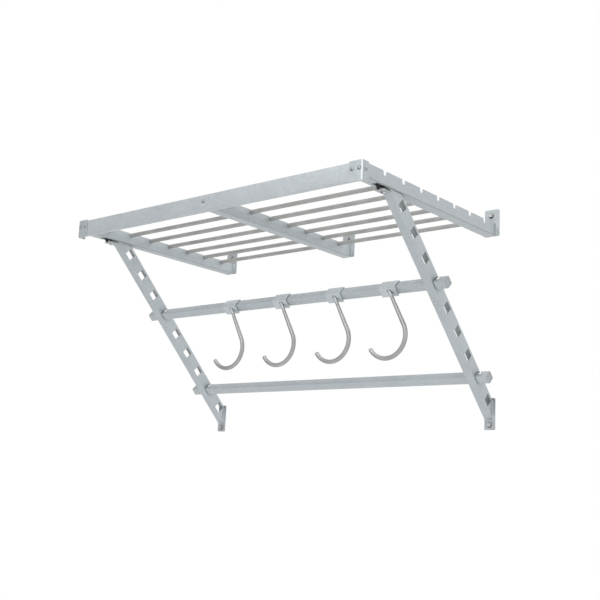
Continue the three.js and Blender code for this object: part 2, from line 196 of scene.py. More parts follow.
# %% [markdown]
# ## Painted shade in folds
# The colour is painted darker where light hardly reaches: inside channels, behind flanges and round the foot
# of a screw head.
# An Ambient Occlusion node tells how shut in a point is, within a given distance.
# An Ambient Occlusion node tells how shut in a point is, within a given distance.

# %% Painted shade mask


def fold_shade_mask(finish, distance):
    """One in a tight fold, and nothing in the open."""
    openness = finish.node("ShaderNodeAmbientOcclusion", {"samples": 8}, {"Distance": distance}, "AO")
    return 1 - openness.between(0.25, 0.9)


print("ready:", fold_shade_mask.__name__)

# %% [markdown]
# ## Galvanised sheet
# The sheet has a thin skin of zinc. Close up it shows faint crystals, soft clouds where the zinc lies
# thicker, and lines from the rolling mill. They change the colour by a few parts in a hundred and the
# roughness a little more, which is what makes the metal look real when light slides over it. Each piece
# drifts between a light and a dark tone of a cool grey.

# %% Galvanised sheet
BARE_EDGE = (0.74, 0.75, 0.76, 1)
SCRATCH = (0.72, 0.73, 0.74, 1)
# The dark colour that is painted into folds as shade.
FOLD_SHADE = (0.13, 0.135, 0.14, 1)


def galvanised(name, light, dark, rolled, shade_reach=0.012, bend=None, painted_bend_tone=None):
    """Zinc on sheet, with the rolling lines along one axis and painted shade as deep as the folds.

    A bend that turns from one of the two named axes to the other gets a painted line of the given bend tone:
    painted shade on the arms, a painted highlight on the caps.
    """
    f = Finish(name)
    cloud = f.noise(0.06, 3)
    patch = f.noise(0.012, 4)
    rolling = f.noise(0.004, 2, rolled)
    grain = f.noise(0.0007, 2)
    crystal = f.node("ShaderNodeTexVoronoi", None, {"Vector": f.place(), "Scale": 240.0}, "Color")
    crystal_tone = f.node("ShaderNodeSeparateColor", None, {"Color": crystal})
    edge = edge_mask(f, 0.0009) * f.noise(0.003, 3).between(0.3, 0.62)
    tone = 0.42 * cloud + 0.26 * patch + 0.14 * rolling + 0.18 * crystal_tone
    base = f.mix(tone.between(0.25, 0.75), dark, light)
    bright = f.mix(edge * 0.5, base, BARE_EDGE)
    scratch_line = f.noise(0.0016, 1, (1, 9, 9), (0.5, 0.35, 0.7)).between(0.70, 0.74)
    scratched = f.mix(scratch_line * 0.25, bright, SCRATCH)
    # Painted shade: the colour darkens in folds, recesses and channels.
    shown = f.mix(fold_shade_mask(f, shade_reach) * 0.7, scratched, FOLD_SHADE)
    # Painted bend line: the colour turns to the bend tone where the normal lies between the two axes.
    if bend:
        normal = f.node("ShaderNodeNewGeometry", output="Normal")
        first, second = (f.node("ShaderNodeSeparateXYZ", None, {0: normal}, axis) for axis in bend)
        turning = first * second
        shown = f.mix((turning * turning).between(0.10, 0.22), shown, painted_bend_tone)
    rough = 0.39 + 0.10 * patch + 0.06 * crystal_tone - edge * 0.08
    height = 0.5 * grain + 0.25 * rolling + 0.15 * crystal_tone
    bump = f.node("ShaderNodeBump", None, {"Strength": 0.16, "Distance": 0.0002, "Height": height})
    f.set(Base_Color=shown, Roughness=rough, Metallic=0.55, Normal=bump)
    print("finish:", name)
    return f.material


print("ready:", galvanised.__name__)

# %% Sheet finishes
LIGHT_ZINC = (0.485, 0.525, 0.545, 1)
DARK_ZINC = (0.415, 0.450, 0.470, 1)
RAIL_LIGHT = (0.535, 0.575, 0.595, 1)
RAIL_DARK = (0.465, 0.500, 0.520, 1)
SADDLE_LIGHT = (0.56, 0.60, 0.62, 1)
SADDLE_DARK = (0.49, 0.53, 0.55, 1)
# Painted bend tones: a shade line along the arms' bends and a highlight along the caps' bend.
BEND_SHADE = (0.37, 0.39, 0.40, 1)
BEND_HIGHLIGHT = (0.86, 0.88, 0.90, 1)
sheet_arm = galvanised(
    "galvanised_arm", LIGHT_ZINC, DARK_ZINC, (4, 0.15, 4), bend="XZ", painted_bend_tone=BEND_SHADE)
sheet_rail = galvanised("galvanised_rail", RAIL_LIGHT, RAIL_DARK, (0.15, 4, 4), shade_reach=0.004)
sheet_cap = galvanised(
    "galvanised_cap", LIGHT_ZINC, DARK_ZINC, (0.3, 4, 4), shade_reach=0.003, bend="XY", painted_bend_tone=BEND_HIGHLIGHT)
sheet_strut = galvanised("galvanised_strut", LIGHT_ZINC, DARK_ZINC, (4, 1, 1), shade_reach=0.045)
sheet_bar = galvanised("galvanised_tube", LIGHT_ZINC, DARK_ZINC, (0.15, 4, 4), shade_reach=0.004)
sheet_clamp = galvanised("galvanised_saddle", SADDLE_LIGHT, SADDLE_DARK, (1, 3, 3), shade_reach=0.002)

# %% [markdown]
# ## Drawn wire
# The rods and hooks are drawn wire: the die leaves fine lines along the wire, and the zinc is a little
# warmer and darker than on the sheet.

# %% Wire finishes
WIRE_LIGHT = (0.410, 0.415, 0.400, 1)
WIRE_DARK = (0.325, 0.330, 0.320, 1)


def drawn_wire(name, along, plated_above=None):
    """Wire with lines along it, plated like the sheet above a given height."""
    f = Finish(name)
    cloud = f.noise(0.03, 3)
    lines = f.noise(0.0012, 2, along)
    pits = f.noise(0.0006, 2)
    tone = 0.6 * cloud + 0.4 * lines
    base = f.mix(tone.between(0.3, 0.7), WIRE_DARK, WIRE_LIGHT)
    if plated_above is not None:
        height = f.node("ShaderNodeSeparateXYZ", None, {0: f.place()}, "Z")
        plated = height.between(plated_above - 0.002, plated_above + 0.002)
        base = f.mix(plated * 0.85, base, LIGHT_ZINC)
    bump = f.node(
        "ShaderNodeBump", None, {"Strength": 0.12, "Distance": 0.0002, "Height": 0.5 * lines + 0.5 * pits})
    f.set(Base_Color=base, Roughness=0.34 + 0.16 * cloud, Metallic=0.5, Normal=bump)
    print("finish:", name)
    return f.material


rod_wire = drawn_wire("drawn_rod", (0.08, 4, 4))
hook_wire = drawn_wire("drawn_hook", (3, 1, 1), plated_above=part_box("hook_wire_1")[1].z - 0.006)

# %% [markdown]
# ## Bright fasteners
# Screws are brighter and smoother, with painted shade under the head and on its shaded side. Rivets are
# duller.

# %% Bright plating
POLISHED_EDGE = (0.85, 0.86, 0.87, 1)
# Painted shade colours for the fasteners: under the head, on one side and round the rim.
CREVICE_SHADE = (0.05, 0.05, 0.055, 1)
SIDE_SHADE = (0.06, 0.06, 0.065, 1)
RIM_SHADE = (0.10, 0.105, 0.11, 1)


def bright_zinc(name, light, dark, roughness, metallic, shaded_side=(-0.5, -0.5, -0.7), shaded_rim=False):
    """Bright plating with painted shade on its shaded side and, if asked, on a rim round the Y axis."""
    f = Finish(name)
    cloud = f.noise(0.004, 3)
    grime = f.noise(0.0012, 4)
    edge = edge_mask(f, 0.0004)
    base = f.mix(cloud.between(0.35, 0.65), dark, light)
    bright = f.mix(edge * 0.5, base, POLISHED_EDGE)
    # Painted shade round the foot of the head and in its recess.
    crevice_shaded = f.mix(fold_shade_mask(f, 0.004) * 0.85, bright, CREVICE_SHADE)
    normal = f.node("ShaderNodeNewGeometry", output="Normal")
    right, back, up = (f.node("ShaderNodeSeparateXYZ", None, {0: normal}, axis) for axis in "XYZ")
    x, y, z = shaded_side
    # Painted shade on the side of the head that is turned away from the light.
    shaded_side_mask = (x * right + y * back + z * up).between(0.60, 0.80)
    shown = f.mix(shaded_side_mask * 0.85, crevice_shaded, SIDE_SHADE)
    # Painted shade ring on the rim round the Y axis.
    if shaded_rim:
        rim = (1 - back * back).between(0.15, 0.60)
        shown = f.mix(rim * 0.7, shown, RIM_SHADE)
    bump = f.node("ShaderNodeBump", None, {"Strength": 0.10, "Distance": 0.0001, "Height": grime})
    f.set(Base_Color=shown, Roughness=roughness + 0.12 * grime, Metallic=metallic, Normal=bump)
    print("finish:", name)
    return f.material


print("ready:", bright_zinc.__name__)

# %% Fastener finishes
RIVET_TONES = (0.44, 0.46, 0.47, 1), (0.30, 0.32, 0.33, 1)
SCREW_TONES = (0.74, 0.75, 0.76, 1), (0.58, 0.59, 0.60, 1)
CHROME_TONES = (0.86, 0.86, 0.87, 1), (0.62, 0.62, 0.63, 1)
side_rivet = bright_zinc("side_rivet_zinc", *RIVET_TONES, 0.45, 0.5)
front_rivet = bright_zinc("front_rivet_zinc", *RIVET_TONES, 0.45, 0.5, shaded_rim=True)
screw_head = bright_zinc("screw_head_zinc", *SCREW_TONES, 0.22, 0.8, shaded_rim=True)
screw_zinc = bright_zinc("bright_zinc", *SCREW_TONES, 0.22, 0.8)
lock_chrome = bright_zinc("lock_chrome", *CHROME_TONES, 0.06, 1.0, shaded_side=(-1, 0, 0))

# %% [markdown]
# ## Plastic
# The bars' end plugs are grey plastic with a fine grain, and the plugs in the arms' slots are black.

# %% Plastic finishes


def moulded_plastic(name, dark, light, worn):
    f = Finish(name)
    cloud = f.noise(0.006, 3)
    grain = f.noise(0.0004, 2)
    edge = edge_mask(f, 0.0005)
    base = f.mix(cloud.between(0.3, 0.7), dark, light)
    shown = f.mix(edge * 0.4, base, worn)
    bump = f.node("ShaderNodeBump", None, {"Strength": 0.2, "Distance": 0.0001, "Height": grain})
    f.set(Base_Color=shown, Roughness=0.55 + 0.1 * cloud, Metallic=0.0, Normal=bump)
    print("finish:", name)
    return f.material


plug_plastic = moulded_plastic(
    "grey_plastic", (0.33, 0.35, 0.365, 1), (0.40, 0.42, 0.435, 1), (0.50, 0.52, 0.53, 1))
black_plastic = moulded_plastic(
    "black_plastic", (0.006, 0.006, 0.007, 1), (0.010, 0.010, 0.011, 1), (0.03, 0.03, 0.03, 1))

# %% [markdown]
# ## Outlines and solids
# Most parts are a flat outline pushed along a line, with holes cut out afterwards. `folded` draws the
# section of a bent sheet with a true bend at each corner, `prism` pushes an outline along, and `turned`
# makes round things. Blender's exact Boolean then joins and cuts them.

# %% Outlines
HALF_ROOT = math.sqrt(0.5)


def arc(centre, radius, start, end, steps):
    """Points on an arc, with its angles in degrees."""
    angles = [math.radians(start + (end - start) * i / steps) for i in range(steps + 1)]
    return [(centre[0] + radius * math.cos(a), centre[1] + radius * math.sin(a)) for a in angles]


def rectangle(x0, x1, y0, y1):
    return [(x0, y0), (x1, y0), (x1, y1), (x0, y1)]


def rounded_box(x0, x1, y0, y1, corners, steps=5):
    """A rectangle whose four corners, from the lower left anticlockwise, have their own radii."""
    centres = [(x0, y0, 1, 1), (x1, y0, -1, 1), (x1, y1, -1, -1), (x0, y1, 1, -1)]
    points = []
    for i, (x, y, sx, sy) in enumerate(centres):
        r = corners[i]
        if r == 0:
            points.append((x, y))
        else:
            points += arc((x + sx * r, y + sy * r), r, 180 + 90 * i, 270 + 90 * i, steps)
    return points


def folded(path, sheet, bend, steps=5):
    """The section of a sheet that follows path on one side and has its thickness to the left of it."""
    path = [Vector(p) for p in path]
    near, far = [], []
    for i, corner in enumerate(path):
        before = (corner - path[i - 1]).normalized() if i > 0 else (path[1] - corner).normalized()
        after = (path[i + 1] - corner).normalized() if i < len(path) - 1 else before
        left_before = Vector((-before.y, before.x))
        turn = math.atan2(before.x * after.y - before.y * after.x, before.dot(after))
        if i in (0, len(path) - 1):
            near.append(corner)
            far.append(corner + left_before * sheet)
            continue
        inner_left = turn > 0
        near_radius = bend + sheet if inner_left else bend
        far_radius = bend if inner_left else bend + sheet
        back = near_radius * math.tan(abs(turn) / 2)
        sign = 1 if inner_left else -1
        centre = corner - before * back + left_before * sign * near_radius
        for k in range(steps + 1):
            swing = Matrix.Rotation(turn * k / steps, 2)
            outwards = swing @ (-left_before * sign)
            near.append(centre + outwards * near_radius)
            far.append(centre + outwards * far_radius)
    return [tuple(p) for p in near] + [tuple(p) for p in reversed(far)]


def mirrored(outline):
    return [(-u, v) for u, v in reversed(outline)]


print("a rounded square has", len(rounded_box(0, 1, 0, 1, [0.1] * 4)), "points")

# %% Solids


def along_x(u, v, w):
    return (w, u, v)


def along_y(u, v, w):
    return (u, w, v)


def along_z(u, v, w):
    return (u, v, w)


def prism(outline, start, end, put):
    """A closed solid with the same outline at both ends."""
    solid = bmesh.new()
    rings = [[solid.verts.new(put(u, v, w)) for u, v in outline] for w in (start, end)]
    solid.faces.new(rings[0])
    solid.faces.new(list(reversed(rings[1])))
    for i in range(len(outline)):
        j = (i + 1) % len(outline)
        solid.faces.new((rings[0][j], rings[0][i], rings[1][i], rings[1][j]))
    bmesh.ops.recalc_face_normals(solid, faces=solid.faces)
    return solid


def turned(profile, axis, place, sides=32, twist=0.0):
    """A round solid from (radius, distance along the axis) pairs, the first and last on the axis."""
    solid = bmesh.new()
    axis = Vector(axis).normalized()
    side = axis.orthogonal().normalized()
    other = axis.cross(side)
    place = Vector(place)
    rings = []
    for radius, distance in profile:
        middle = place + axis * distance
        if radius == 0:
            rings.append([solid.verts.new(middle)])
            continue
        ring = []
        for k in range(sides):
            a = 2 * math.pi * (k + twist) / sides
            ring.append(solid.verts.new(middle + radius * (math.cos(a) * side + math.sin(a) * other)))
        rings.append(ring)
    for low, high in zip(rings, rings[1:]):
        for k in range(sides):
            j = (k + 1) % sides
            corners = [low[k % len(low)], low[j % len(low)], high[j % len(high)], high[k % len(high)]]
            solid.faces.new(list(dict.fromkeys(corners)))
    bmesh.ops.recalc_face_normals(solid, faces=solid.faces)
    return solid


def cylinder(radius, start, end, axis, place, sides=32):
    """A plain round bar, also used as the drill for a round hole."""
    return turned([(0, start), (radius, start), (radius, end), (0, end)], axis, place, sides)


def as_object(solid):
    mesh = bpy.data.meshes.new("blank")
    solid.to_mesh(mesh)
    solid.free()
    made = bpy.data.objects.new("blank", mesh)
    scene.collection.objects.link(made)
    return made


def together(solids):
    """Several solids that don't touch, in one bmesh."""
    whole = bmesh.new()
    for solid in solids:
        mesh = bpy.data.meshes.new("part")
        solid.to_mesh(mesh)
        solid.free()
        whole.from_mesh(mesh)
        bpy.data.meshes.remove(mesh)
    return whole


def carved(base, joined=(), cut=()):
    """Joins solids to the base, then cuts others out of it."""
    blank = as_object(base)
    tools = []
    steps = [("UNION", solid) for solid in joined]
    if cut:
        steps.append(("DIFFERENCE", together(cut)))
    for operation, solid in steps:
        tool = as_object(solid)
        change = blank.modifiers.new(operation, "BOOLEAN")
        change.operation = operation
        change.solver = "EXACT"
        change.object = tool
        tools.append(tool)
    graph = bpy.context.evaluated_depsgraph_get()
    mesh = bpy.data.meshes.new_from_object(blank.evaluated_get(graph))
    for used in [blank, *tools]:
        bpy.data.objects.remove(used)
    result = bmesh.new()
    result.from_mesh(mesh)
    bpy.data.meshes.remove(mesh)
    bmesh.ops.remove_doubles(result, verts=result.verts, dist=1e-6)
    return result


print("ready:", [maker.__name__ for maker in (prism, turned, cylinder, carved)])

# %% Pieces
SMOOTH_BELOW = math.radians(32)


def piece(name, solid, material, body, nodes, soften=0.0):
    """Turns a solid into a named piece that stands for CAD nodes and rides on a body."""
    for face in solid.faces:
        face.smooth = True
    for edge in solid.edges:
        if len(edge.link_faces) == 2 and edge.calc_face_angle() > SMOOTH_BELOW:
            edge.smooth = False
    mesh = bpy.data.meshes.new(name)
    solid.to_mesh(mesh)
    solid.free()
    mesh.materials.append(material)
    made = bpy.data.objects.new(name, mesh)
    scene.collection.objects.link(made)
    if soften:
        edges = made.modifiers.new("sheared_edges", "BEVEL")
        edges.width = soften
        edges.segments = 2
        edges.limit_method = "ANGLE"
        edges.angle_limit = math.radians(40)
        edges.harden_normals = True
    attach(made, body)
    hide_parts(*nodes)
    return made


def hexagon(radius, z0, z1, axis, place, twist=0.0):
    """A nut or bolt head with its corners turned off at both ends."""
    off = radius * 0.12
    return turned(
        [(0, z0), (radius * 0.86, z0), (radius, z0 + off), (radius, z1 - off), (radius * 0.86, z1), (0, z1)],
        axis, place, sides=6, twist=twist)


print("bends under", round(math.degrees(SMOOTH_BELOW)), "degrees are shaded smooth")

# %% [markdown]
# ## Arms
# Each arm is one blank: a U-channel whose web is underneath, with notches in both walls that the rods
# drop into. At the wall the sheet turns out into a plate with a screw hole. The channel is a folded
# section pushed along Y. The notches are cut with one long tool for each rod. A cutting tool reaches a
# little past the sheet, so that no skin is left where two faces would coincide.

# %% Arms
SHEET = 0.002
INNER_BEND = 0.0012
SCREW_HOLE = 0.0034
SHEARED = 0.0003
PAST = 0.001
ARM_WIDTH = 0.0285
NOTCH, NOTCH_LEAD = 0.0054, 0.0012
WALL_TURN = 0.0032
PLATE_CORNERS = [0.0015, 0.0015, 0.004, 0.004]
CAP_STEP, CAP_STEP_LENGTH = 0.0021, 0.0075
RELIEF, RELIEF_ACROSS = 0.0019, 0.0105
SLOT_LEFT, SLOT_RIGHT = -0.0045, 0.0095
SLOT_FRONT, SLOT_REAR = -0.036, -0.009
rod_boxes = [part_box(f"shelf_rod_{i}") for i in range(1, 8)]
rod_places = [(low + high) / 2 for low, high in rod_boxes]


def notch_tool(place, x0, x1, top):
    """A round-bottomed notch that opens a little at its mouth."""
    y, z = place.y, place.z
    wide = NOTCH + NOTCH_LEAD
    mouth = [(y + NOTCH, top - NOTCH_LEAD), (y + wide, top), (y + wide, top + PAST),
             (y - wide, top + PAST), (y - wide, top), (y - NOTCH, top - NOTCH_LEAD)]
    return prism(arc((y, z), NOTCH, 180, 360, 18) + mouth, x0, x1, along_x)


def arm_solid(side):
    low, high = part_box(f"arm_{side}")
    screw_low, screw_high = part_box(f"arm_wall_screw_{side}")
    screw = (screw_low + screw_high) / 2
    left = low.x
    right = left + ARM_WIDTH
    middle = (left + right) / 2
    top = low.z + ARM_WIDTH
    section = folded([(left, top), (left, low.z), (right, low.z), (right, top)], SHEET, INNER_BEND)
    channel = prism(section, low.y, -SHEET / 2, along_y)
    half = SHEET / 2
    front = prism(rounded_box(left + half, right - half, low.z + half, top - 0.003, [0, 0, 0.002, 0.002]),
                  low.y, low.y + SHEET, along_y)
    plate = prism(rounded_box(left, high.x, low.z, high.z, PLATE_CORNERS), -SHEET, 0, along_y)
    turn = arc((right + WALL_TURN, -SHEET - WALL_TURN), WALL_TURN, 180, 90, 6)
    bend = prism([(right - half, -SHEET - WALL_TURN), *turn, (right + WALL_TURN, -half),
                  (right - half, -half)], low.z + 0.0004, top - 0.0004, along_z)
    cuts = [notch_tool(p, left - PAST, right + PAST, top) for p in rod_places]
    cuts.append(prism(rectangle(left - PAST, right + PAST, top - CAP_STEP, top + PAST),
                      low.y - PAST, low.y + CAP_STEP_LENGTH, along_y))
    cuts.append(cylinder(SCREW_HOLE, -SHEET - PAST, PAST, (0, 1, 0), (screw.x, 0, screw.z)))
    cuts.append(cylinder(RELIEF, -0.004, SHEET + 0.0006, (0, 0, 1),
                         (left + RELIEF_ACROSS, -WALL_TURN, low.z), sides=20))
    if side != "middle":
        bolt_low, bolt_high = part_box(f"strut_bolt_{side}")
        bolt = (bolt_low + bolt_high) / 2
        cuts.append(cylinder(SCREW_HOLE, -PAST, SHEET + PAST, (0, 0, 1), (bolt.x, bolt.y, low.z)))
        slot = rounded_box(middle + SLOT_LEFT, middle + SLOT_RIGHT, bolt.y + SLOT_FRONT, bolt.y + SLOT_REAR,
                           [0.0015] * 4, 4)
        cuts.append(prism(slot, low.z - PAST, low.z + SHEET + PAST, along_z))
    return carved(channel, [front, plate, bend], cuts)


for side in ("left", "middle", "right"):
    made = piece(f"folded_arm_{side}", arm_solid(side), sheet_arm, "frame",
                 [f"arm_{side}"], soften=SHEARED)
    print(made.name, len(made.data.polygons), "faces")

# %% [markdown]
# ## Slot plugs
# Near the front each end arm has a slot in its web. A black plug is pushed down through its rear end: a
# flange rests on the web, and one leg stands on the strut's tongue. A moulded block with soft corners
# will do, because little of it shows.

# %% Slot plugs
FLANGE_LEFT, FLANGE_RIGHT = 0.0043, 0.0023
FLANGE_BOTTOM, FLANGE_TOP = 0.0023, 0.0046
FLANGE_CORNER, CORE_CORNER, LEG_CORNER = 0.0015, 0.001, 0.0008
CORE_BELOW_WEB = 0.00125
LEG_WIDTH, LEG_LENGTH = 0.005, 0.006


def slot_plug_solid(side):
    """A block through the slot, a flange on top of the web and a leg down to the tongue."""
    low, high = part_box(f"slot_plug_{side}")
    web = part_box(f"arm_{side}")[0].z
    left = low.x + FLANGE_LEFT
    core_plan = rounded_box(left, high.x - FLANGE_RIGHT, low.y + 0.0001, high.y - FLANGE_RIGHT,
                            [CORE_CORNER] * 4, 4)
    core = prism(core_plan, web - CORE_BELOW_WEB, high.z, along_z)
    flange_plan = rounded_box(low.x, high.x, low.y, high.y, [FLANGE_CORNER] * 4, 4)
    flange = prism(flange_plan, web + FLANGE_BOTTOM, web + FLANGE_TOP, along_z)
    leg_plan = rounded_box(left + 0.0001, left + LEG_WIDTH, low.y + 0.0002, low.y + LEG_LENGTH,
                           [LEG_CORNER] * 4, 4)
    leg = prism(leg_plan, low.z, web - 0.0002, along_z)
    return carved(core, [flange, leg])


for side in ("left", "right"):
    made = piece(f"moulded_slot_plug_{side}", slot_plug_solid(side), black_plastic, "frame",
                 [f"slot_plug_{side}"], soften=SHEARED)
    print(made.name, [round(v, 4) for v in made.dimensions])

# %% [markdown]
# ## Rail and corner caps
# The rail is a C-section along the front edge, with a deeper lip at the top. Its ends and the arms'
# ends are held in two corner caps, each a plain angle with one soft bend, and riveted.

# %% Rail and corner caps
RAIL_SHEET = 0.0015
RAIL_BEND, CAP_BEND = 0.001, 0.0014
RAIL_LOWER_LIP = 0.0065
FINE_SHEARED = 0.00025
rail_low, rail_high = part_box("front_rail")
rail_path = [(rail_high.y, rail_high.z), (rail_low.y, rail_high.z),
             (rail_low.y, rail_low.z), (rail_low.y + RAIL_LOWER_LIP, rail_low.z)]
rail = prism(folded(rail_path, RAIL_SHEET, RAIL_BEND), rail_low.x, rail_high.x, along_x)
piece("folded_rail", rail, sheet_rail, "frame", ["front_rail"], soften=FINE_SHEARED)


def cap_solid(side):
    low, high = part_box(f"corner_cap_{side}")
    if side == "right":
        path = [(low.x, low.y), (high.x, low.y), (high.x, high.y)]
        section = folded(path, RAIL_SHEET, CAP_BEND, 8)
    else:
        path = [(-high.x, low.y), (-low.x, low.y), (-low.x, high.y)]
        section = mirrored(folded(path, RAIL_SHEET, CAP_BEND, 8))
    return prism(section, low.z, high.z, along_z)


for side in ("left", "right"):
    made = piece(f"folded_cap_{side}", cap_solid(side), sheet_cap, "frame",
                 [f"corner_cap_{side}"], soften=FINE_SHEARED)
    print(made.name, [round(v, 4) for v in made.dimensions])

# %% [markdown]
# ## Rods
# Seven drawn rods lie in the notches. They are cut to length and lightly chamfered.

# %% Rods
CHAMFER = 0.0007
for i, (low, high) in enumerate(rod_boxes, start=1):
    radius = (high.z - low.z) / 2
    length = high.x - low.x
    profile = [(0, 0), (radius - CHAMFER, 0), (radius, CHAMFER), (radius, length - CHAMFER),
               (radius - CHAMFER, length), (0, length)]
    rod = turned(profile, (1, 0, 0), (low.x, (low.y + high.y) / 2, (low.z + high.z) / 2), sides=40)
    piece(f"drawn_rod_{i}", rod, rod_wire, "frame", [f"shelf_rod_{i}"])
print("rods:", len(rod_boxes), "of", round(length, 3), "m")

# %% [markdown]
# ## Struts
# A strut is a C-section that slopes at 45 degrees. Its web is on the right and has a row of square
# holes that stand on their corners when the strut is in place. At the top the front flange turns
# forward into a flat tongue under the arm; at the foot a plate lies on the wall.

# %% Strut holes and section
STRUT_WIDTH = 0.020
STRUT_DEPTH = 0.032
REAR_LIP = 0.017
FOOT_TURN = 0.0028
FOOT_CORNERS = [0.002, 0.002, 0.003, 0.002]
TONGUE_DROP, TONGUE_BEND, TONGUE_TAIL = 0.0055, 0.003, 0.05
PLATE_ABOVE = 0.004
OPEN_END_FRONT, OPEN_END_REAR = -0.012, 0.0035
WASTE = 0.8
SLOPE_START, SLOPE_END = -0.36, 0.42
HOLE_TO_FRONT = 0.0202
HOLE_SIDE, HOLE_CORNER = 0.0208, 0.0012
bar_places = {}
for bar in ("upper_bar", "lower_bar"):
    low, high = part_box(bar)
    bar_places[bar] = (low + high) / 2
hole_step = (bar_places["lower_bar"] - bar_places["upper_bar"]) / 4
hole_places = [bar_places["upper_bar"] + hole_step * (i - 3) for i in range(9)]
print("hole spacing along the strut:", round(Vector((hole_step.y, hole_step.z)).length, 4), "m")


def on_slope(u, v, w):
    """Across, in from the front face, and down along the strut, as a point of the rack's frame."""
    return (u, (v + w) * HALF_ROOT, (v - w) * HALF_ROOT)


def diamond_tool(place, x0, x1):
    """A square hole with small corner radii, turned to stand on its corner."""
    half = HOLE_SIDE / 2
    square = rounded_box(-half, half, -half, half, [HOLE_CORNER] * 4, 3)
    turned_square = [(place.y + (u - v) * HALF_ROOT, place.z + (u + v) * HALF_ROOT) for u, v in square]
    return prism(turned_square, x0, x1, along_x)


# %% Struts


def strut_solid(side):
    low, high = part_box(f"strut_{side}")
    bolt_low, bolt_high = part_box(f"strut_bolt_{side}")
    screw_low, screw_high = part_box(f"strut_wall_screw_{side}")
    bolt = (bolt_low + bolt_high) / 2
    screw = (screw_low + screw_high) / 2
    left, right, top = low.x, low.x + STRUT_WIDTH, high.z
    front_line = hole_places[0].y + hole_places[0].z - HOLE_TO_FRONT
    tongue_top = top - TONGUE_DROP
    depth = front_line * HALF_ROOT
    rear_depth = depth + STRUT_DEPTH
    section = folded([(left, depth), (right, depth), (right, rear_depth), (right - REAR_LIP, rear_depth)],
                     SHEET, INNER_BEND)
    channel = prism(section, SLOPE_START, SLOPE_END, on_slope)
    underside = tongue_top - SHEET
    turn_down = front_line - underside
    strip = folded([(low.y, underside), (turn_down, underside),
                    (turn_down + TONGUE_TAIL, underside - TONGUE_TAIL)], SHEET, TONGUE_BEND, 8)
    tongue = prism(strip, left, right - 0.0004, along_x)
    rear = front_line + STRUT_DEPTH * math.sqrt(2)
    plate = prism(rounded_box(left, high.x, low.z, rear + PLATE_ABOVE, FOOT_CORNERS), -SHEET, 0, along_y)
    turn = arc((right + FOOT_TURN, -SHEET - FOOT_TURN), FOOT_TURN, 180, 90, 6)
    half = SHEET / 2
    bend = prism([(right - half, -SHEET - FOOT_TURN), *turn, (right + FOOT_TURN, -half),
                  (right - half, -half)], front_line + PLATE_ABOVE, rear, along_z)
    above = prism(rectangle(-WASTE, WASTE, top, WASTE), left - PAST, right + PAST, along_x)
    behind = prism(rectangle(-half, WASTE, -WASTE, WASTE), left - PAST, right + PAST, along_x)
    clear = front_line - tongue_top
    open_end = rectangle(clear + OPEN_END_FRONT, clear + OPEN_END_REAR, tongue_top - 0.0002, top + PAST)
    front_end = prism(open_end, left - PAST, right - SHEET, along_x)
    for tool in (above, behind, front_end):
        channel = carved(channel, [], [tool])
    holes = [diamond_tool(p, right - SHEET - PAST, right + PAST) for p in hole_places]
    holes.append(cylinder(SCREW_HOLE, -SHEET - PAST, PAST, (0, 1, 0), (screw.x, 0, screw.z)))
    holes.append(cylinder(SCREW_HOLE, underside - PAST, tongue_top + PAST, (0, 0, 1), (bolt.x, bolt.y, 0)))
    return carved(channel, [tongue, plate, bend], holes)


for side in ("left", "right"):
    made = piece(f"folded_strut_{side}", strut_solid(side), sheet_strut, "frame",
                 [f"strut_{side}"], soften=SHEARED)
    print(made.name, len(made.data.polygons), "faces", [round(v, 4) for v in made.dimensions])

# %% [markdown]
# ## Square bars and their plugs
# The bars are thin square tube with soft corners, set edge up, and each end is closed by a moulded plug
# with a raised rim. They are drawn square and turned by 45 degrees about their own middle.

# %% Square bars
BAR_SIDE = 0.020
BAR_CORNER = 0.0022
BAR_WALL = 0.0015
PLUG_RIM, PLUG_DEPTH = 0.0013, 0.0133
INSERT_HALF, DISH_HALF = 0.0082, 0.0078
DISH_DEPTH = 0.0006


def edge_up(place):
    """Takes a section drawn square and turns it edge up on the bar's middle line."""

    def put(u, v, w):
        return (w, place.y + (u - v) * HALF_ROOT, place.z + (u + v) * HALF_ROOT)

    return put


def bar_solid(bar):
    low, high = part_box(bar)
    half = BAR_SIDE / 2
    outer = prism(rounded_box(-half, half, -half, half, [BAR_CORNER] * 4, 6), low.x, high.x,
                  edge_up(bar_places[bar]))
    hollow = half - BAR_WALL
    core = prism(rounded_box(-hollow, hollow, -hollow, hollow, [0.001] * 4, 3), low.x - PAST, high.x + PAST,
                 edge_up(bar_places[bar]))
    return carved(outer, [], [core])


def plug_solid(bar, side):
    low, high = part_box(f"{bar}_plug_{side}")
    put = edge_up(bar_places[bar])
    half = BAR_SIDE / 2
    outward = 1 if side == "right" else -1
    face = high.x if side == "right" else low.x
    inner = face - outward * PLUG_RIM
    rim = prism(rounded_box(-half, half, -half, half, [BAR_CORNER] * 4, 6), inner, face, put)
    insert = prism(rounded_box(-INSERT_HALF, INSERT_HALF, -INSERT_HALF, INSERT_HALF, [0.001] * 4, 3),
                   face - outward * PLUG_DEPTH, inner + outward * 0.0004, put)
    dish = prism(rounded_box(-DISH_HALF, DISH_HALF, -DISH_HALF, DISH_HALF, [0.0014] * 4, 4),
                 face - outward * DISH_DEPTH, face + outward * PAST, put)
    return carved(rim, [insert], [dish])


for bar in ("upper_bar", "lower_bar"):
    piece(f"square_{bar}", bar_solid(bar), sheet_bar, "frame", [bar], soften=0.0002)
    for side in ("left", "right"):
        piece(f"plug_{bar}_{side}", plug_solid(bar, side), plug_plastic, "frame",
              [f"{bar}_plug_{side}"], soften=SHEARED)
print("bars at", {k: [round(c, 4) for c in v] for k, v in bar_places.items()})

# %% [markdown]
# ## Hooks
# Each hook is a saddle folded over three faces of the upper bar and a round wire let into a slot in its
# lower front face. The wire leans to the right as it comes down and then swings round in one wide bend,
# all in a plane along the bar. It is swept along its centre line, slimmer up the shank and rounded at
# the tip, and its upper end is trimmed just short of the bar. Saddle and wire slide together.

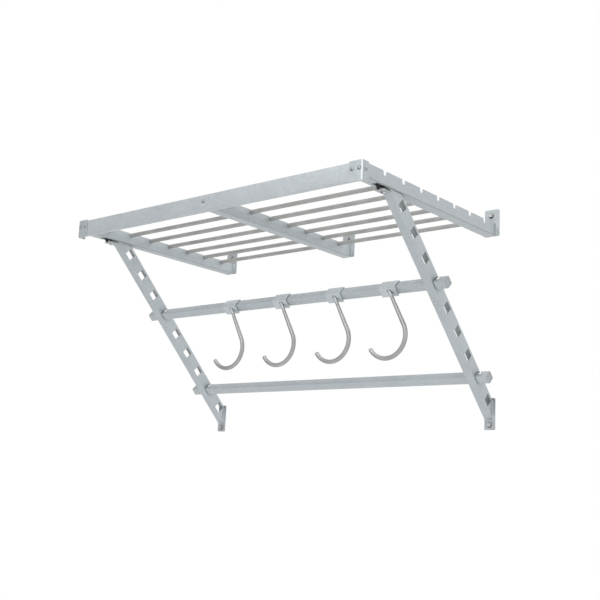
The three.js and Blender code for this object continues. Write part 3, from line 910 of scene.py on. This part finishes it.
# %% Saddles
CLAMP_SHEET = 0.0025
CLAMP_GAP = 0.0003
CLAMP_SHORT_SIDE = 0.0175
CLAMP_BEND = 0.0018
WIRE_SLOT_ACROSS = (-0.0023, 0.0077)
WIRE_SLOT_ALONG = (-0.0056, 0.0064)
WIRE_SLOT_CORNER = 0.0041


def saddle_solid(i):
    """The folded saddle, with the slot that the wire is let into."""
    low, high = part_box(f"hook_clamp_{i}")
    put = edge_up(bar_places["upper_bar"])

    def into_face(u, v, w):
        return put(w, v, u)

    inside = BAR_SIDE / 2 + CLAMP_GAP
    outside = inside + CLAMP_SHEET
    path = [(outside, outside - CLAMP_SHORT_SIDE), (outside, outside), (-outside, outside),
            (-outside, -outside)]
    saddle = prism(folded(path, CLAMP_SHEET, CLAMP_BEND, 6), low.x, high.x, put)
    middle = (low.x + high.x) / 2
    across = [middle + u for u in WIRE_SLOT_ACROSS]
    slot = rounded_box(*across, *WIRE_SLOT_ALONG, [WIRE_SLOT_CORNER] * 4, 6)
    return carved(saddle, [], [prism(slot, -outside - PAST, -inside + CLAMP_GAP / 2, into_face)])


print("saddle sheet:", CLAMP_SHEET, "m, clear of the bar by", CLAMP_GAP, "m")

# %% Hook wires
WIRE = 0.005
BEND = 0.0483
BEND_CENTRE = Vector((-0.002, 0, -0.095))
SHANK_LEAN, TIP_TURN = math.radians(27.5), math.radians(149)
SHANK = 0.0914
SLIMMER_AT_TOP, SLIMMING_CURVE = 0.32, 1.4
SHORT_OF_BAR = 0.0008
SHANK_STEPS, BEND_STEPS, WIRE_SIDES = 10, 48, 28
TIP_ROUNDING = 0.8


def hook_line(face):
    """Centre line of the wire, given the middle of the saddle's lower front face."""

    def on_bend(angle):
        return face + BEND_CENTRE + BEND * Vector((math.cos(angle), 0, -math.sin(angle)))

    back = Vector((-math.sin(SHANK_LEAN), 0, math.cos(SHANK_LEAN)))
    line = [on_bend(-SHANK_LEAN) + back * SHANK * (1 - k / SHANK_STEPS) for k in range(SHANK_STEPS)]
    swing = (TIP_TURN + SHANK_LEAN) / BEND_STEPS
    return line + [on_bend(-SHANK_LEAN + swing * k) for k in range(BEND_STEPS + 1)]


def wire_solid(line):
    """A round wire along the line, slimmer up the shank and rounded over at the tip."""
    solid = bmesh.new()
    stations = []
    for k, point in enumerate(line):
        way = (line[min(k + 1, len(line) - 1)] - line[max(k - 1, 0)]).normalized()
        up_shank = max(0, 1 - k / SHANK_STEPS)
        stations.append((point, way, WIRE * (1 - SLIMMER_AT_TOP * up_shank ** SLIMMING_CURVE)))
    tip, tip_way, _ = stations.pop()
    for a in (math.radians(v) for v in (0, 25, 48, 68, 84)):
        set_back = WIRE * TIP_ROUNDING * (1 - math.sin(a))
        stations.append((tip - tip_way * set_back, tip_way, WIRE * math.cos(a)))
    forward = Vector((0, 1, 0))
    rings = []
    for point, way, radius in stations:
        side = way.cross(forward)
        angles = [2 * math.pi * k / WIRE_SIDES for k in range(WIRE_SIDES)]
        rings.append([solid.verts.new(point + radius * (math.cos(a) * side + math.sin(a) * forward))
                      for a in angles])
    for low, high in zip(rings, rings[1:]):
        for k in range(WIRE_SIDES):
            j = (k + 1) % WIRE_SIDES
            solid.faces.new((low[k], low[j], high[j], high[k]))
    solid.faces.new(rings[0])
    solid.faces.new(list(reversed(rings[-1])))
    bmesh.ops.recalc_face_normals(solid, faces=solid.faces)
    return solid


def trimmed_wire(i):
    """The hook's wire, cut off just short of the bar's face."""
    low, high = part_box(f"hook_clamp_{i}")
    middle = (low.x + high.x) / 2
    bar = bar_places["upper_bar"]
    put = edge_up(bar)
    face = Vector(put(-BAR_SIDE / 2 - CLAMP_GAP - CLAMP_SHEET, 0, middle))
    line = hook_line(face)
    cut = -BAR_SIDE / 2 - SHORT_OF_BAR
    behind = rectangle(cut, cut + BAR_SIDE, -BAR_SIDE, BAR_SIDE)
    return carved(wire_solid(line), [], [prism(behind, middle - 0.05, middle + 0.05, put)]), line


print("wire:", 2 * WIRE, "m thick, bent to a radius of", BEND, "m")

# %% Place the hooks
for i in range(1, 5):
    wire, line = trimmed_wire(i)
    piece(f"saddle_{i}", saddle_solid(i), sheet_clamp, f"hook_{i}",
          [f"hook_clamp_{i}"], soften=SHEARED)
    piece(f"bent_hook_{i}", wire, hook_wire, f"hook_{i}", [f"hook_wire_{i}"])
print("hook wire:", round(sum((b - a).length for a, b in zip(line, line[1:])), 4), "m")

# %% [markdown]
# ## Fasteners
# Rivets hold the caps, hexagon screws with a flange hold the plates to the wall, a bolt with two nuts
# holds each strut, and a small bright screw beside each strut keeps the bar from sliding.

# %% Rivets
FRONT_GRIP, SIDE_GRIP, RAIL_GRIP = 0.0055, 0.0040, 0.0040
DOME_HEIGHT = 0.0017


def rivet_solid(axis, place, grip):
    """A dome with a dimple, where the pulled pin has broken off, and a shank behind it."""
    profile = [(0, -grip), (0.0021, -grip), (0.0021, 0), (0.0041, 0), (0.0038, 0.0006), (0.0029, 0.0012),
               (0.0017, 0.0016), (0.0013, 0.0016), (0.0011, 0.0010), (0, 0.0010)]
    return turned(profile, axis, place, sides=28)


rivets = [("rail_rivet_middle", (0, -1, 0), RAIL_GRIP)]
for side, outward in (("left", -1), ("right", 1)):
    rivets.append((f"cap_rivet_outer_{side}", (0, -1, 0), FRONT_GRIP))
    rivets.append((f"cap_rivet_inner_{side}", (0, -1, 0), FRONT_GRIP))
    rivets.append((f"cap_rivet_side_{side}", (outward, 0, 0), SIDE_GRIP))
for node, axis, grip in rivets:
    low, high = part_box(node)
    way = Vector(axis)
    middle = (low + high) / 2
    reach = abs((high - low).dot(way)) / 2
    seat = middle + way * (reach - DOME_HEIGHT)
    finish = front_rivet if way.y else side_rivet
    piece(f"domed_{node}", rivet_solid(way, seat, grip), finish, "frame", [node])
print("rivets:", len(rivets))

# %% Wall screws
HEAD_RADIUS, HEAD_TOP, HEAD_TWIST = 0.0056, 0.0051, 0.35
COLLAR_RADIUS = 0.0064
SCREW_SHANK = 0.003
SEAT_GAP = 0.0002


def wall_screw_solid(place, front):
    """A hexagon head that grows out of a thin flange, with its shank in the plate."""
    out, seat = (0, -1, 0), (place.x, front, place.z)
    flange = turned([(0, -SEAT_GAP), (COLLAR_RADIUS, -SEAT_GAP), (COLLAR_RADIUS, 0.0006),
                     (HEAD_RADIUS, 0.0014), (0, 0.0014)], out, seat, sides=36)
    head = hexagon(HEAD_RADIUS, 0.0008, HEAD_TOP, out, seat, twist=HEAD_TWIST)
    shank = cylinder(SCREW_SHANK, -0.0019, 0.001, out, seat, sides=20)
    return carved(flange, [head, shank])


wall_screws = [f"arm_wall_screw_{s}" for s in ("left", "middle", "right")]
wall_screws += [f"strut_wall_screw_{s}" for s in ("left", "right")]
for node in wall_screws:
    low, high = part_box(node)
    piece(f"hex_{node}", wall_screw_solid((low + high) / 2, -SHEET - SEAT_GAP), screw_head, "frame",
          [node], soften=0.00015)
print("wall screws:", len(wall_screws))

# %% Strut bolts and nuts
NUT_RADIUS, NUT_BORE = 0.00575, 0.0033
BOLT_RADIUS, THREAD_ROOT, THREADS = 0.003, 0.0026, 9


def nut_solid(low, high):
    middle = (low + high) / 2
    place = (middle.x, middle.y, 0)
    nut = hexagon(NUT_RADIUS, low.z, high.z, (0, 0, 1), place)
    bore = cylinder(NUT_BORE, low.z - PAST, high.z + PAST, (0, 0, 1), place, sides=24)
    return carved(nut, [], [bore])


def bolt_solid(low, high):
    middle = (low + high) / 2
    z0, z1 = low.z, high.z
    profile = [(0, z0 + 0.0004), (0.0020, z0 + 0.0004), (0.0026, z0), (0.0043, z0 + 0.0005),
               (0.0058, z0 + 0.0018), (0.006, z0 + 0.0029), (BOLT_RADIUS, z0 + 0.003)]
    length = z1 - z0 - 0.0045
    for k in range(THREADS):
        base = z0 + 0.0035 + length * k / THREADS
        profile += [(BOLT_RADIUS, base), (THREAD_ROOT, base + length / THREADS / 2)]
    profile += [(BOLT_RADIUS, z1 - 0.0008), (0.0024, z1), (0, z1)]
    return turned(profile, (0, 0, 1), (middle.x, middle.y, 0), sides=28)


for side in ("left", "right"):
    for node, maker in ((f"strut_bolt_{side}", bolt_solid), (f"strut_spacer_nut_{side}", nut_solid),
                        (f"strut_lock_nut_{side}", nut_solid)):
        low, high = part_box(node)
        piece(f"made_{node}", maker(low, high), screw_zinc, "frame", [node])
print("strut fixings done")

# %% Bar locking screws
RECESS_REACH, RECESS_HALF, RECESS_FLOOR, HEAD_CLEAR = 0.0024, 0.0005, 0.0014, 0.006


def lock_screw_solid(seat, axis):
    """A bright pan head with a cross recess, and its shank through the tube's wall."""
    way = Vector(axis).normalized()
    profile = [(0, -0.006), (0.0019, -0.0055), (0.0019, 0), (0.0040, 0), (0.0040, 0.0012), (0.0034, 0.0023),
               (0.0022, 0.0030), (0, 0.0032)]
    head = turned(profile, way, seat, sides=32)
    across = Vector((1, 0, 0))
    other = way.cross(across)
    cuts = []
    for long_way, short_way in ((across, other), (other, across)):

        def put(u, v, w, long_way=long_way, short_way=short_way):
            return seat + long_way * u + short_way * v + way * w

        cuts.append(prism(rectangle(-RECESS_REACH, RECESS_REACH, -RECESS_HALF, RECESS_HALF),
                          RECESS_FLOOR, HEAD_CLEAR, put))
    for slit in cuts:
        head = carved(head, [], [slit])
    return head


UP_FRONT = Vector((0, -1, 1)).normalized()
for bar in ("upper_bar", "lower_bar"):
    for side in ("left", "right"):
        node = f"{bar}_lock_screw_{side}"
        low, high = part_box(node)
        seat = Vector(((low.x + high.x) / 2, bar_places[bar].y, bar_places[bar].z))
        seat += UP_FRONT * (BAR_SIDE / 2 + 0.0001)
        piece(f"bright_{node}", lock_screw_solid(seat, UP_FRONT), lock_chrome, "frame",
              [node])
print("lock screws: 4")

# %% [markdown]
# ## Floor, surroundings and lights
# The rack hangs in a bright studio. The surroundings are white at eye level, and dimmer below and to the
# front left, where dark flags give the folds their shade. A broad lamp shines from above and behind, so
# that each rod shades the wall of its arm, and a softer one fills the front. The pale floor lies well
# below the rack.

# %% Floor
FLOOR_PLACE = (0, -0.3, -1.3)
FLOOR_RADIUS = 3.4


def pale_floor():
    f = Finish("pale_floor")
    cloud = f.noise(0.4, 3)
    base = f.mix(cloud.between(0.3, 0.7), (0.80, 0.80, 0.80, 1), (0.84, 0.84, 0.84, 1))
    f.set(Base_Color=base, Roughness=0.7 + 0.1 * cloud)
    solid = bmesh.new()
    bmesh.ops.create_circle(solid, cap_ends=True, radius=FLOOR_RADIUS, segments=96)
    mesh = bpy.data.meshes.new("floor")
    solid.to_mesh(mesh)
    solid.free()
    mesh.materials.append(f.material)
    floor = bpy.data.objects.new("floor", mesh)
    floor.location = FLOOR_PLACE
    scene.collection.objects.link(floor)


pale_floor()
print("floor:", FLOOR_RADIUS, "m round, at", FLOOR_PLACE)

# %% Surroundings
scene.view_settings.view_transform = "Standard"


class Surroundings(Finish):
    """The world's own nodes, written as expressions too."""

    def __init__(self, name):
        self.world = bpy.data.worlds.new(name)
        self.world.use_nodes = True
        self.tree = self.world.node_tree
        self.shader = next(n for n in self.tree.nodes if n.type == "BACKGROUND")


studio = Surroundings("studio")
direction = studio.node("ShaderNodeTexCoord", output="Generated")
across, inwards, upwards = (
    studio.node("ShaderNodeSeparateXYZ", None, {0: direction}, axis) for axis in "XYZ")
left_front = (0 - across).between(0.05, 0.7) * (0 - inwards).between(-0.45, 0.2)
level_light = upwards.between(-0.75, -0.12, 0.5, 1.0)
studio.set(Color=(1, 1, 1, 1), Strength=level_light * (1 - 0.6 * left_front))
scene.world = studio.world
print("surroundings: white, dimmer below and to the front left")

# %% Lights


def soft_lamp(name, place, aim, size, power):
    lamp = bpy.data.lights.new(name, "AREA")
    lamp.shape = "SQUARE"
    lamp.size = size
    lamp.energy = power
    made = bpy.data.objects.new(name, lamp)
    made.location = place
    made.rotation_euler = (Vector(aim) - Vector(place)).to_track_quat("-Z", "Y").to_euler()
    scene.collection.objects.link(made)


soft_lamp("top_lamp", (0.5, 0.9, 2.2), (0, -0.25, -0.1), 1.1, 24)
soft_lamp("front_lamp", (0.1, -2.9, 1.7), (0, -0.4, -0.1), 1.6, 45)
